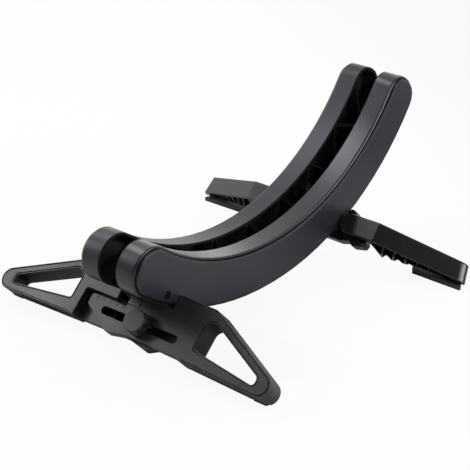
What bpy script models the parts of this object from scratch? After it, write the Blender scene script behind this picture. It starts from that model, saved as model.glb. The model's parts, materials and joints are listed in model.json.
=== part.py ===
"""Floor stand that holds a cycle wheel between two curved arms.

Lengths below are millimetres and angles are degrees. -Y is the front, where the feet are, +X is
to the right as seen from the front, +Z is up and the floor is z = 0. The two halves are alike
except where the width clamp joins them: the right half slides on the left one.
"""
import bpy
import bmesh
from math import acos, asin, atan2, ceil, cos, degrees, hypot, pi, radians, sin, sqrt, tan
from mathutils import Matrix, Vector

MM = 0.001
FIT_GAP = 0.3

# arms, seen from the side
WHEEL_RADIUS = 245.5
TROUGH_HEIGHT = 60.9
NOSE_RADIUS = 25.3
NOSE_ANGLE = -127.2
REAR_ANGLE = -30.75
UNDER_SHIFT_Y = -3.3
UNDER_SHIFT_Z = -0.5
REAR_TOP_ROUND = 19.0
REAR_LOW_ROUND = 23.0

# arms, across
SLOT_WIDTH = 21.5
ARM_WIDTH = 22.75
COVER_RISE = 3.0
WALL = 2.5
WEB = 2.5
RIM_ROUND = 2.8
LIP_ROUND = 0.5
COVER_SEAT_DEPTH = 2.5
COVER_SEAT_INSET = 2.0
COVER_INSET = 3.2
COVER_SKIN = 2.2
COVER_ROUND = 1.6
COVER_BOSS = 7.0

# zigzag ribs inside the arms
RIB = 1.7
RIB_FIRST_ANGLE = -36.1
RIB_PITCH_ANGLE = 12.05
RIB_NODES = 8
CELL_ROUND = 2.0

# foot plates, in the leaning plane of their front face
FOOT_TILT = 43.49
FOOT_AHEAD_OF_NOSE = 6.5
FOOT_FACE_HEIGHT = 17.82
FOOT_DEPTH = 22.2
FOOT_HALF_SPAN = 171.1
FOOT_PEAK_X = 82.0
FOOT_PEAK_UP = 55.3
FOOT_PEAK_ROUND = 12.0
FOOT_TIP_ROUND = 11.3
FOOT_TIP_LOW = -4.5
FOOT_MIDDLE_LOW = -1.8
FOOT_EDGE_ROUND = 0.5
FOOT_LIP = 0.9
FOOT_GROOVE = 1.0
FOOT_GROOVE_DEPTH = 1.3
SHELF_UP = 39.0
SHELF_TOP = 50.0
SHELF_STEP_UP = 36.0
SHELF_STEP_X = 1.0
SHELF_STEP_DEPTH = 1.6
SHELF_GROOVE = 0.9
SHELF_GROOVE_DEPTH = 1.2
WINDOW_X = 79.4
WINDOW_OUT_X = 155.0
WINDOW_TOP = 46.9
WINDOW_LOW = 12.9
WINDOW_OUT_TOP = 12.4
WINDOW_OUT_LOW = 3.6

# sliding joint of the foot plates
TONGUE_REACH = 57.0
RECESS_REACH = 67.5
RECESS_UP = 28.7
FRONT_LAYER = 10.5
BACK_TONGUE_DEPTH = 20.0
TONGUE_UP = 25.7
TONGUE_LOW = -4.3
TONGUE_LOW_X = 21.5
TONGUE_CHAMFER_UP = 14.2
TONGUE_RISE_X = 4.0
TONGUE_RISE_UP = 0.4
LEFT_SHELF_END = 28.0
RIGHT_SHELF_END = 14.0
SLOT_UP = 14.2
SLOT_OPENING = 8.2
SLOT_LEFT = -38.0
SLOT_RIGHT = 58.0
SLOT_BAR_X = -29.4
SLOT_BAR = 3.2
BACK_POCKET_DEPTH = 7.0
SHELF_POCKET = 9.0

# width clamp
KNOB_X = 11.9
KNOB_RADIUS = 12.0
KNOB_HOLLOW = 1.4
KNOB_LOBES = 9
KNOB_HEIGHT = 10.2
WASHER_RADIUS = 8.0
WASHER_THICK = 1.2
BOLT_RADIUS = 2.9
NUT_RADIUS = 5.6
NUT_THICK = 4.2

# fixing lugs between arms, foot plates and leg brackets
LUG_THICK = 6.5
LUG_FRONT = 2.0
LUG_BACK = 17.0
LUG_RADIUS = 8.0
FOOT_SCREW_BACK = 15.6
FOOT_SCREW_DOWN = 28.5
BRACKET_SCREW_ANGLE = -63.1
SCREW_RADIUS = 2.0
SCREW_HEAD = 3.4
SCREW_HEAD_THICK = 2.2
SCREW_FIT = 0.15

# rear legs
LEG_TILT = 47.93
LEG_PIVOT_ANGLE = -66.3
LEG_PIVOT_BELOW = 38.2
HUB_RADIUS = 10.6
HUB_DEPTH = 12.0
LEG_BEND_X = 82.5
LEG_TIP_X = 167.0
LEG_TIP_BACK = 28.0
LEG_TIP_HEIGHT = 26.6
LEG_DEPTH = 26.0
LEG_TIP_DEPTH = 15.0
LEG_TIP_ROUND = 9.0
LEG_TIP_LEAN = 0.22
LEG_TIP_FACE = 20.0
LEG_DEEPEN_START = 8.0
LEG_HANG = 6.1
LEG_HANG_START = 0.35
LEG_HANG_END = 55.0
LEG_TAPER_START = 40.0
LEG_WALL = 2.7
LEG_RIB = 1.7
LEG_RIB_PITCH = 12.6
LEG_FIRST_RIB = 13.6
LEG_NOTCH_ROOT = 4.0
LEG_NOTCH_SHARE = 0.58
PIN_RADIUS = 4.0
PIN_HEAD = 7.0
BRACKET_DEPTH = 11.7
BRACKET_LOW = 19.4
BRACKET_TOP = 17.7
BRACKET_SHOULDER = 11.2

# soft pads on the floor
LEG_PAD_THICK = 7.0
LEG_PAD_TIP_THICK = 3.9
LEG_PAD_BACK = 17.6
LEG_PAD_LONG = 55.0
LEG_PAD_OUT = 5.4
LEG_PAD_WIDE = 9.0
FOOT_PAD_THICK = 4.0
FOOT_PAD_LONG = 16.0
FOOT_PAD_WIDE = 7.5
FOOT_PAD_FROM_TIP = 6.0


# plane geometry

def polar(radius, angle, centre=(0.0, 0.0)):
    a = radians(angle)
    return (centre[0] + radius * cos(a), centre[1] + radius * sin(a))


def arc(centre, radius, start, end, steps):
    return [polar(radius, start + (end - start) * i / steps, centre) for i in range(steps + 1)]


def circle(centre, radius, steps=24):
    start = 2.0 + 97.0 / steps
    return arc(centre, radius, start, start + 360.0, steps)[:-1]


def bearing(point, centre=(0.0, 0.0)):
    return degrees(atan2(point[1] - centre[1], point[0] - centre[0]))


def unit(a, b):
    length = hypot(b[0] - a[0], b[1] - a[1])
    return ((b[0] - a[0]) / length, (b[1] - a[1]) / length)


def rounded(points, radii):
    """Polygon with each corner turned into an arc of the radius given for it."""
    result = []
    for i, corner in enumerate(points):
        radius = radii[i] if isinstance(radii, (list, tuple)) else radii
        if radius <= 0.0:
            result.append(corner)
            continue
        u = unit(corner, points[i - 1])
        w = unit(corner, points[(i + 1) % len(points)])
        inside = acos(max(-1.0, min(1.0, u[0] * w[0] + u[1] * w[1])))
        turn = pi - inside
        if turn < 0.3:
            result.append(corner)
            continue
        beside = (points[i - 1], points[(i + 1) % len(points)])
        room = 0.45 * min(hypot(corner[0] - q[0], corner[1] - q[1]) for q in beside)
        reach = min(radius / tan(inside / 2), room)
        radius = reach * tan(inside / 2)
        middle = unit((0.0, 0.0), (u[0] + w[0], u[1] + w[1]))
        far = radius / sin(inside / 2)
        centre = (corner[0] + middle[0] * far, corner[1] + middle[1] * far)
        start = bearing((corner[0] + u[0] * reach, corner[1] + u[1] * reach), centre)
        end = bearing((corner[0] + w[0] * reach, corner[1] + w[1] * reach), centre)
        sweep = (end - start + 180.0) % 360.0 - 180.0
        result += arc(centre, radius, start, start + sweep, max(2, ceil(degrees(turn) / 22.0)))
    return result


def area(points):
    return sum(points[i - 1][0] * p[1] - p[0] * points[i - 1][1] for i, p in enumerate(points)) / 2


def inset(points, distance):
    """Polygon moved inwards by a distance, corner by corner."""
    side = 1.0 if area(points) > 0 else -1.0
    result = []
    for i, p in enumerate(points):
        a = unit(points[i - 1], p)
        b = unit(p, points[(i + 1) % len(points)])
        na = (-a[1] * side, a[0] * side)
        nb = (-b[1] * side, b[0] * side)
        scale = distance / (1.0 + na[0] * nb[0] + na[1] * nb[1])
        result.append((p[0] + (na[0] + nb[0]) * scale, p[1] + (na[1] + nb[1]) * scale))
    return result


def clipped(points, origin, normal):
    """Part of a polygon on the side of a line that its normal points to."""
    result = []
    for i, p in enumerate(points):
        q = points[i - 1]
        dp = (p[0] - origin[0]) * normal[0] + (p[1] - origin[1]) * normal[1]
        dq = (q[0] - origin[0]) * normal[0] + (q[1] - origin[1]) * normal[1]
        if (dp < 0.0) != (dq < 0.0):
            t = dq / (dq - dp)
            result.append((q[0] + (p[0] - q[0]) * t, q[1] + (p[1] - q[1]) * t))
        if dp >= 0.0:
            result.append(p)
    kept = []
    for i, point in enumerate(result):
        if hypot(point[0] - result[i - 1][0], point[1] - result[i - 1][1]) > 0.02:
            kept.append(point)
    return kept


def hull(points):
    """Convex outline round a set of points, anticlockwise."""
    ordered = sorted({(round(x, 4), round(y, 4)) for x, y in points})
    chains = []
    for run in (ordered, ordered[::-1]):
        chain = []
        for p in run:
            while len(chain) > 1:
                a = chain[-2]
                b = chain[-1]
                if (b[0] - a[0]) * (p[1] - a[1]) - (b[1] - a[1]) * (p[0] - a[0]) > 1e-9:
                    break
                chain.pop()
            chain.append(p)
        chains += chain[:-1]
    return chains


def flipped(points, side):
    """Polygon as drawn for the right half, mirrored for the left one."""
    return [(x * side, y) for x, y in points]


# arm outline

NOSE = polar(WHEEL_RADIUS + NOSE_RADIUS, NOSE_ANGLE)
UNDER = (UNDER_SHIFT_Y, UNDER_SHIFT_Z)
UNDER_RADIUS = hypot(NOSE[0] - UNDER[0], NOSE[1] - UNDER[1]) + NOSE_RADIUS


def rear_corner(radius, centre, distance):
    """Centre of a corner arc that touches the rear end line and an arc about a centre."""
    e = polar(1.0, REAR_ANGLE)
    t = polar(1.0, REAR_ANGLE + 90.0)
    base = (-t[0] * radius - centre[0], -t[1] * radius - centre[1])
    half = base[0] * e[0] + base[1] * e[1]
    along = -half + sqrt(half * half - base[0] ** 2 - base[1] ** 2 + distance ** 2)
    return (e[0] * along - t[0] * radius, e[1] * along - t[1] * radius)


def arm_outline(grow=0.0):
    """Side outline of an arm about the wheel arc's centre, moved outwards by a distance."""
    low = rear_corner(REAR_LOW_ROUND, UNDER, UNDER_RADIUS - REAR_LOW_ROUND)
    top = rear_corner(REAR_TOP_ROUND, (0.0, 0.0), WHEEL_RADIUS + REAR_TOP_ROUND)
    end = REAR_ANGLE + 90.0
    points = arc(NOSE, NOSE_RADIUS + grow, NOSE_ANGLE + 180.0, bearing(NOSE, UNDER) + 360.0, 14)
    points += arc(UNDER, UNDER_RADIUS + grow, bearing(NOSE, UNDER), bearing(low, UNDER), 26)[1:]
    points += arc(low, REAR_LOW_ROUND + grow, bearing(low, UNDER), end, 5)[1:]
    points += arc(top, REAR_TOP_ROUND + grow, end, bearing(top) + 180.0, 5)
    points += arc((0.0, 0.0), WHEEL_RADIUS - grow, bearing(top), NOSE_ANGLE, 26)[1:-1]
    return points


# places

OUTLINE = arm_outline()
ARC_Y = -(min(p[0] for p in OUTLINE) + max(p[0] for p in OUTLINE)) / 2
ARC_Z = TROUGH_HEIGHT + WHEEL_RADIUS
ARM_INNER = SLOT_WIDTH / 2
ARM_OUTER = ARM_INNER + ARM_WIDTH
COVER_FACE = ARM_OUTER + COVER_RISE
SEAT_X = ARM_OUTER - COVER_SEAT_DEPTH
WEB_X = SEAT_X - WEB
LUG_X = (SEAT_X - LUG_THICK, SEAT_X)
FOOT_Y = ARC_Y + NOSE[0] - FOOT_AHEAD_OF_NOSE
FOOT_SCREW = (NOSE[0] + FOOT_SCREW_BACK, NOSE[1] - FOOT_SCREW_DOWN)
BRACKET_SCREW = polar(WHEEL_RADIUS + 23.5, BRACKET_SCREW_ANGLE)
GROOVE_START = (RECESS_REACH + 5.0, FOOT_MIDDLE_LOW)
GROOVE_STOP = (COVER_FACE + 4.0, FOOT_PEAK_UP)
PIVOT_X = COVER_FACE + 0.5 + HUB_RADIUS
PIVOT = polar(WHEEL_RADIUS + LEG_PIVOT_BELOW, LEG_PIVOT_ANGLE, (ARC_Y, ARC_Z))


def arm_frame():
    """Local x, y, z are world Y, Z, X with the origin at the wheel arc's centre."""
    turn = Matrix(((0, 0, 1, 0), (1, 0, 0, 0), (0, 1, 0, 0), (0, 0, 0, 1)))
    return Matrix.Translation((0, ARC_Y * MM, ARC_Z * MM)) @ turn


def foot_frame(x=0.0, up=0.0):
    """Local y runs up the foot's front face and z points out of it."""
    place = Matrix.Translation((0, FOOT_Y * MM, FOOT_FACE_HEIGHT * MM))
    base = place @ Matrix.Rotation(radians(FOOT_TILT), 4, "X")
    return base @ Matrix.Translation((x * MM, up * MM, 0))


def leg_frame(side):
    """Origin where the leg's fold axis meets its front face; z points out of that face."""
    turn = Matrix.Rotation(radians(LEG_TILT), 4, "X")
    return Matrix.Translation((side * PIVOT_X * MM, PIVOT[0] * MM, PIVOT[1] * MM)) @ turn


def on_foot(up, depth):
    """Side-view place, about the arc's centre, of a height and depth in the foot plate."""
    t = radians(FOOT_TILT)
    y = FOOT_Y + up * cos(t) + depth * sin(t)
    z = FOOT_FACE_HEIGHT + up * sin(t) - depth * cos(t)
    return (y - ARC_Y, z - ARC_Z)


def on_leg(up, depth):
    """Side-view place, about the arc's centre, of a height and depth in the leg's frame."""
    t = radians(LEG_TILT)
    y = PIVOT[0] + up * cos(t) + depth * sin(t)
    z = PIVOT[1] + up * sin(t) - depth * cos(t)
    return (y - ARC_Y, z - ARC_Z)


# building blocks

def empty_scene():
    for old in list(bpy.data.objects):
        bpy.data.objects.remove(old, do_unlink=True)
    for group in list(bpy.data.collections):
        bpy.data.collections.remove(group)


def new_group(name):
    group = bpy.data.collections.new(name)
    bpy.context.scene.collection.children.link(group)
    return group


def material(name, colour, roughness, metallic=0.0):
    result = bpy.data.materials.get(name)
    if result is None:
        result = bpy.data.materials.new(name)
        result.use_nodes = True
        shader = result.node_tree.nodes["Principled BSDF"]
        shader.inputs["Base Color"].default_value = (*colour, 1.0)
        shader.inputs["Roughness"].default_value = roughness
        shader.inputs["Metallic"].default_value = metallic
    return result


def solid(name, mesh, frame, skin=None):
    """Object for a mesh: a part of the stand with a material, or else a cutter."""
    obj = bpy.data.objects.new(name, mesh)
    obj.matrix_world = frame
    if skin is None:
        bpy.data.collections["cutters"].objects.link(obj)
        obj.hide_render = True
        obj.display_type = "WIRE"
        return obj
    bpy.data.collections["floor_wheel_stand"].objects.link(obj)
    mesh.materials.append(skin)
    return obj


def finished(bm, name):
    """Mesh of a closed solid with flat ends and smooth walls."""
    bmesh.ops.remove_doubles(bm, verts=bm.verts, dist=0.000002)
    bmesh.ops.recalc_face_normals(bm, faces=bm.faces)
    for face in bm.faces:
        face.smooth = abs(face.normal.z) < 0.999 and len(face.verts) == 4
    mesh = bpy.data.meshes.new(name)
    bm.to_mesh(mesh)
    bm.free()
    mesh.set_sharp_from_angle(angle=radians(32.0))
    return mesh


def slab(name, loops, low, high):
    """Flat outlines, the later ones islands or holes, raised from one height to another."""
    curve = bpy.data.curves.new(name, "CURVE")
    curve.dimensions = "2D"
    curve.fill_mode = "BOTH"
    curve.extrude = (high - low) / 2 * MM
    for points in loops:
        spline = curve.splines.new("POLY")
        spline.points.add(len(points) - 1)
        for target, p in zip(spline.points, points):
            target.co = (p[0] * MM, p[1] * MM, 0, 1)
        spline.use_cyclic_u = True
    carrier = bpy.data.objects.new(name + "_outline", curve)
    mesh = bpy.data.meshes.new_from_object(carrier)
    bpy.data.objects.remove(carrier)
    bpy.data.curves.remove(curve)
    mesh.transform(Matrix.Translation((0, 0, (high + low) / 2 * MM)))
    bm = bmesh.new()
    bm.from_mesh(mesh)
    bpy.data.meshes.remove(mesh)
    return finished(bm, name)


def loft(name, rings):
    """Closed solid through rings of equal point counts, flat at both ends."""
    bm = bmesh.new()
    rows = [[bm.verts.new(Vector(p) * MM) for p in ring] for ring in rings]
    for low, high in zip(rows, rows[1:]):
        for i in range(len(low)):
            bm.faces.new((low[i - 1], low[i], high[i], high[i - 1]))
    bm.faces.new(rows[0][::-1])
    bm.faces.new(rows[-1])
    return finished(bm, name)


def turned(name, profile, steps=24):
    """Round solid about z from (radius, height) pairs."""
    centre = (0.0, 0.0)
    return loft(name, [[(*p, height) for p in circle(centre, radius, steps)] for radius, height in profile])


def soft_slab(name, outline, low, high, low_round, high_round, steps=2):
    """Slab whose end edges are rounded."""
    rings = []
    for height, radius, sign in ((low, low_round, 1.0), (high, high_round, -1.0)):
        turns = [i / steps for i in range(steps + 1)] if radius > 0 else [1.0]
        if sign < 0:
            turns = turns[::-1]
        for t in turns:
            a = t * pi / 2
            ring = inset(outline, radius * (1.0 - sin(a)))
            rings.append([(*p, height + sign * radius * (1.0 - cos(a))) for p in ring])
    return loft(name, rings)


def modify(obj, other, how):
    step = obj.modifiers.new(other.name, "BOOLEAN")
    step.operation = how
    step.solver = "EXACT"
    step.object = other


def cut(obj, *others):
    for other in others:
        modify(obj, other, "DIFFERENCE")


def join(obj, *others):
    for other in others:
        modify(obj, other, "UNION")


def span(side, low, high):
    """Two heights along world X for a side, in rising order."""
    return (low, high) if side > 0 else (-high, -low)


def side_name(side):
    return "right" if side > 0 else "left"


# lugs and screws

def foot_lug_outline():
    """Tab that rises from a foot plate to the screw in its arm."""
    base = [on_foot(SHELF_UP + 3.5, LUG_FRONT), on_foot(SHELF_UP, LUG_BACK)]
    return hull(base + circle(FOOT_SCREW, LUG_RADIUS, 20))


def bracket_lug_outline():
    """Tab that rises from a leg bracket to the screw in its arm."""
    base = [on_leg(-9.2, HUB_DEPTH + 1.0), on_leg(-9.2, HUB_DEPTH + 11.0)]
    return hull(base + circle(BRACKET_SCREW, LUG_RADIUS, 20))


def arm_space(name, side):
    """Space an arm takes up with its fitting gap, to be kept clear by its neighbours."""
    low, high = span(side, ARM_INNER - FIT_GAP, COVER_FACE + FIT_GAP)
    return solid(name, slab(name, [arm_outline(FIT_GAP)], low, high), arm_frame())


def floor_space(name, top):
    """Everything under a height above the floor."""
    box = [(-300.0, -400.0), (300.0, -400.0), (300.0, 400.0), (-300.0, 400.0)]
    return solid(name, slab(name, [box], -60.0, top), Matrix.Identity(4))


def screw_hole(place):
    """Outline of the hole that a fixing screw runs through."""
    return circle(place, SCREW_RADIUS + SCREW_FIT, 18)


def screw(name, side, place, head_x, tip_x, outward):
    """Round-headed screw along X at a side-view place; its head has a six-sided socket."""
    head = SCREW_HEAD_THICK * outward
    profile = [
        (SCREW_RADIUS, tip_x), (SCREW_RADIUS, head_x), (SCREW_HEAD, head_x),
        (SCREW_HEAD, head_x + head * 0.55), (SCREW_HEAD - 0.8, head_x + head),
    ]
    frame = arm_frame() @ Matrix.Translation((place[0] * MM, place[1] * MM, 0))
    mesh = turned(name, [(r, x * side) for r, x in profile], 20)
    obj = solid(name, mesh, frame, material("screw_steel", (0.11, 0.11, 0.12), 0.35, 0.9))
    ends = sorted(((head_x + head * 0.3) * side, (head_x + head * 1.5) * side))
    cut(obj, solid(name + "_socket", slab(name, [circle((0.0, 0.0), 1.5, 6)], *ends), frame))
    return obj


def foot_screw(side):
    name = side_name(side) + "_foot_screw"
    return screw(name, side, FOOT_SCREW, ARM_OUTER + 0.4, LUG_X[0] - 1.7, 1.0)


def bracket_screw(side):
    name = side_name(side) + "_bracket_screw"
    return screw(name, side, BRACKET_SCREW, ARM_INNER + SCREW_HEAD_THICK + 0.3, LUG_X[1] - 1.5, -1.0)


# arms

def rib_lines():
    """Zigzag ribs from the rear end to the nose, each a node on the wheel arc and its far end."""
    lines = []
    for i in range(RIB_NODES):
        angle = RIB_FIRST_ANGLE - RIB_PITCH_ANGLE * i
        top = polar(WHEEL_RADIUS, angle)
        for turn in (0.5, -0.5) if i else (-0.5,):
            lines.append((top, polar(UNDER_RADIUS, angle + RIB_PITCH_ANGLE * turn, UNDER)))
    return lines


def truss_cells():
    """Open cells between the ribs of an arm."""
    lines = rib_lines()
    cells = []
    for i in range(len(lines) + 1):
        cell = arm_outline(-WALL)
        sides = []
        if i > 0:
            sides.append((lines[i - 1], 1.0))
        if i < len(lines):
            sides.append((lines[i], -1.0))
        for line, sign in sides:
            along = unit(*line)
            normal = (along[1] * sign, -along[0] * sign)
            start = (line[0][0] + normal[0] * RIB / 2, line[0][1] + normal[1] * RIB / 2)
            cell = clipped(cell, start, (normal[0], normal[1]))
        if len(cell) > 2 and abs(area(cell)) > 40.0:
            cells.append(rounded(cell, CELL_ROUND))
    return cells


def arm_shell(side):
    """Moulded arm: rim, web and zigzag ribs, open towards the wheel."""
    name = side_name(side) + "_arm_shell"
    frame = arm_frame()
    rings = []
    for i in range(3):
        a = i * pi / 4
        height = side * (ARM_INNER + LIP_ROUND * (1 - cos(a)))
        rings.append([(*p, height) for p in arm_outline(-LIP_ROUND * (1 - sin(a)))])
    last = acos(1 - COVER_SEAT_INSET / RIM_ROUND)
    for i in range(4):
        a = last * i / 3
        x = ARM_OUTER - RIM_ROUND * (1 - sin(a))
        rings.append([(*p, side * x) for p in arm_outline(-RIM_ROUND * (1 - cos(a)))])
    rings.append([(*p, side * SEAT_X) for p in arm_outline(-COVER_SEAT_INSET)])
    shell = solid(name, loft(name, rings), frame, material("arm_plastic", (0.022, 0.021, 0.023), 0.36))

    cells = solid(name + "_cells", slab(name, truss_cells(), *span(side, ARM_INNER - 5.0, WEB_X)), frame)
    lugs = [foot_lug_outline(), bracket_lug_outline()]
    housing_x = span(side, LUG_X[0] - FIT_GAP - WALL, COVER_FACE)
    housing = slab(name, [inset(lug, -WALL) for lug in lugs], *housing_x)
    boss_x = span(side, ARM_INNER - 6.0, COVER_FACE)
    boss = slab(name, [circle(BRACKET_SCREW, 6.0)], *boss_x)
    cut(cells, solid(name + "_housing", housing, frame), solid(name + "_boss", boss, frame))
    lug_x = span(side, LUG_X[0] - FIT_GAP, SEAT_X + 0.5)
    lug_space = slab(name, [inset(lug, -FIT_GAP) for lug in lugs], *lug_x)
    hole_space = slab(name, [screw_hole(BRACKET_SCREW)], *span(side, ARM_INNER - 2.0, LUG_X[1] - 0.5))
    foot_hole = slab(name, [screw_hole(FOOT_SCREW)], *span(side, LUG_X[0] - 2.0, LUG_X[1] - 0.5))
    head_x = span(side, ARM_INNER - 3.0, ARM_INNER + SCREW_HEAD_THICK + 0.6)
    head_space = slab(name, [circle(BRACKET_SCREW, SCREW_HEAD + 0.4, 22)], *head_x)
    cut(
        shell,
        cells,
        solid(name + "_lugs", lug_space, frame),
        solid(name + "_bracket_hole", hole_space, frame),
        solid(name + "_bracket_head", head_space, frame),
        solid(name + "_foot_hole", foot_hole, frame),
    )
    return shell


def arm_cover(side):
    """Raised panel over the outer side of an arm, hollow behind and held by the foot screw."""
    name = side_name(side) + "_arm_cover"
    frame = arm_frame()
    back = SEAT_X + FIT_GAP
    rings = [[(*p, side * back) for p in arm_outline(-COVER_INSET)]]
    for i in range(4):
        a = pi / 2 - i * pi / 6
        x = COVER_FACE - COVER_ROUND * (1 - cos(a))
        rings.append([(*p, side * x) for p in arm_outline(-COVER_INSET - COVER_ROUND * (1 - sin(a)))])
    cover = solid(name, loft(name, rings), frame, material("cover_plastic", (0.046, 0.043, 0.047), 0.42))
    hollow_x = span(side, back - 3.0, COVER_FACE - COVER_SKIN)
    hollow_outline = arm_outline(-COVER_INSET - COVER_SKIN)
    hollow = solid(name + "_hollow", slab(name, [hollow_outline], *hollow_x), frame)
    boss = slab(name, [circle(FOOT_SCREW, COVER_BOSS)], *span(side, back - 4.0, COVER_FACE))
    cut(hollow, solid(name + "_boss", boss, frame))
    head_x = span(side, ARM_OUTER + 0.1, COVER_FACE + 5.0)
    head = slab(name, [circle(FOOT_SCREW, SCREW_HEAD + 1.0)], *head_x)
    hole = slab(name, [circle(FOOT_SCREW, SCREW_RADIUS + 0.2, 20)], *span(side, back - 1.0, COVER_FACE))
    cut(cover, hollow, solid(name + "_head_space", head, frame), solid(name + "_hole", hole, frame))
    return cover


# foot plates

def tip_arc():
    """Round end of a wing, from its underside to where it meets the sloping top edge."""
    centre = (FOOT_HALF_SPAN - FOOT_TIP_ROUND, FOOT_TIP_LOW + FOOT_TIP_ROUND)
    peak = (FOOT_PEAK_X, FOOT_PEAK_UP)
    reach = hypot(peak[0] - centre[0], peak[1] - centre[1])
    end = bearing(peak, centre) - degrees(acos(FOOT_TIP_ROUND / reach))
    return arc(centre, FOOT_TIP_ROUND, -90.0, end, 11)


def wing_outline(shelf_end):
    """Full-depth part of a foot plate: the wing and its shelf under the arms."""
    tip = tip_arc()
    points = [(RECESS_REACH, FOOT_MIDDLE_LOW), GROOVE_START] + tip
    points += [(FOOT_PEAK_X, FOOT_PEAK_UP), GROOVE_STOP, (COVER_FACE + FIT_GAP, FOOT_PEAK_UP)]
    points += [(COVER_FACE + FIT_GAP, SHELF_TOP), (max(ARM_INNER, shelf_end), SHELF_TOP)]
    radii = [0.0] * (len(tip) + 2) + [FOOT_PEAK_ROUND, 0.0, 1.5, 0.0, 0.0]
    if shelf_end < ARM_INNER:
        points += [(ARM_INNER, SHELF_UP), (shelf_end, SHELF_UP)]
        radii += [0.0, 1.5]
    points += [(shelf_end, RECESS_UP), (RECESS_REACH, RECESS_UP)]
    radii += [1.5, 3.0]
    return rounded(points, radii)


def edge_groove(shelf_end):
    """Groove just inside the free edge of a wing's face."""
    outline = wing_outline(shelf_end)
    stretch = slice(outline.index(GROOVE_START), outline.index(GROOVE_STOP) + 1)
    near = inset(outline, FOOT_LIP)[stretch]
    far = inset(outline, FOOT_LIP + FOOT_GROOVE)[stretch]
    return near + far[::-1]


def window_outline():
    """Three-sided opening through a wing."""
    points = [
        (WINDOW_X, WINDOW_LOW), (WINDOW_OUT_X, WINDOW_OUT_LOW),
        (WINDOW_OUT_X, WINDOW_OUT_TOP), (WINDOW_X, WINDOW_TOP),
    ]
    return rounded(points, [2.5, 3.5, 4.0, 8.0])


def tongue_outline(top, shelf_end):
    """Sliding tongue as drawn for the half on the right: its free end points to -X."""
    root = RECESS_REACH + 7.0
    points = [
        (-TONGUE_REACH, top), (-TONGUE_REACH, TONGUE_CHAMFER_UP), (-TONGUE_LOW_X, TONGUE_LOW),
        (TONGUE_RISE_X, TONGUE_RISE_UP), (root, FOOT_MIDDLE_LOW + 1.0),
        (root, RECESS_UP + 3.3), (shelf_end, RECESS_UP + 3.3), (shelf_end, top),
    ]
    return rounded(points, [3.0, 3.0, 4.0, 0.0, 0.0, 0.0, 0.0, 0.0])


def foot_pocket_outline():
    """Hollow behind the solid corner of a wing."""
    low = COVER_FACE + 4.5
    high = WINDOW_X - 3.5
    return rounded([(low, RECESS_UP + 3.0), (high, RECESS_UP + 3.0), (high, 51.0), (low, 51.0)], 3.0)


def pad_place():
    """Plan of a foot pad: its X and Y limits."""
    heel = on_foot(FOOT_TIP_LOW, FOOT_DEPTH)[0] + ARC_Y
    far = FOOT_HALF_SPAN - FOOT_PAD_FROM_TIP
    return (far - FOOT_PAD_LONG, far, heel - 2.0, heel - 2.0 + FOOT_PAD_WIDE)


def pad_mesh(name, side, grow):
    x0, x1, y0, y1 = pad_place()
    box = [(x0 - grow, y0 - grow), (x1 + grow, y0 - grow), (x1 + grow, y1 + grow), (x0 - grow, y1 + grow)]
    outline = flipped(rounded(box, 2.0 + grow), side)
    if grow > 0.0:
        return slab(name, [outline], -5.0, FOOT_PAD_THICK + grow)
    return soft_slab(name, outline, 0.0, FOOT_PAD_THICK, 0.6, 0.6)


def foot_pad(side):
    name = side_name(side) + "_foot_pad"
    rubber = material("pad_rubber", (0.05, 0.05, 0.052), 0.8)
    return solid(name, pad_mesh(name, side, 0.0), Matrix.Identity(4), rubber)


def foot_body(side, shelf_end, tongue_top, tongue_low, tongue_high):
    """Wing, shelf, tongue and lug of one half as one moulding."""
    name = side_name(side) + "_foot"
    frame = foot_frame()
    wing = soft_slab(name, flipped(wing_outline(shelf_end), side), -FOOT_DEPTH, 0.0, 0.0, FOOT_EDGE_ROUND)
    foot = solid(name, wing, frame, material("foot_plastic", (0.034, 0.032, 0.035), 0.4))
    tongue = slab(name, [flipped(tongue_outline(tongue_top, shelf_end), side)], tongue_low, tongue_high)
    join(foot, solid(name + "_tongue", tongue, frame))
    window = slab(name, [flipped(window_outline(), side)], -FOOT_DEPTH - 5.0, 5.0)
    rim = [flipped(inset(window_outline(), -reach), side) for reach in (FOOT_LIP + FOOT_GROOVE, FOOT_LIP)]
    edge = [flipped(edge_groove(shelf_end), side)]
    pocket = slab(name, [flipped(foot_pocket_outline(), side)], -FOOT_DEPTH - 5.0, -WALL)
    cut(
        foot,
        solid(name + "_window", window, frame),
        solid(name + "_rim_groove", slab(name, rim, -FOOT_GROOVE_DEPTH, 5.0), frame),
        solid(name + "_edge_groove", slab(name, edge, -FOOT_GROOVE_DEPTH, 5.0), frame),
        solid(name + "_pocket", pocket, frame),
        arm_space(name + "_arm_space", side),
    )
    lug = slab(name, [foot_lug_outline()], *span(side, *LUG_X))
    join(foot, solid(name + "_lug", lug, arm_frame()))
    hole = slab(name, [screw_hole(FOOT_SCREW)], *span(side, LUG_X[0] - 3.0, LUG_X[1] + 3.0))
    cut(
        foot,
        solid(name + "_screw_hole", hole, arm_frame()),
        solid(name + "_pad_space", pad_mesh(name, side, FIT_GAP), Matrix.Identity(4)),
        floor_space(name + "_floor", 0.8),
    )
    return foot


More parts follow.
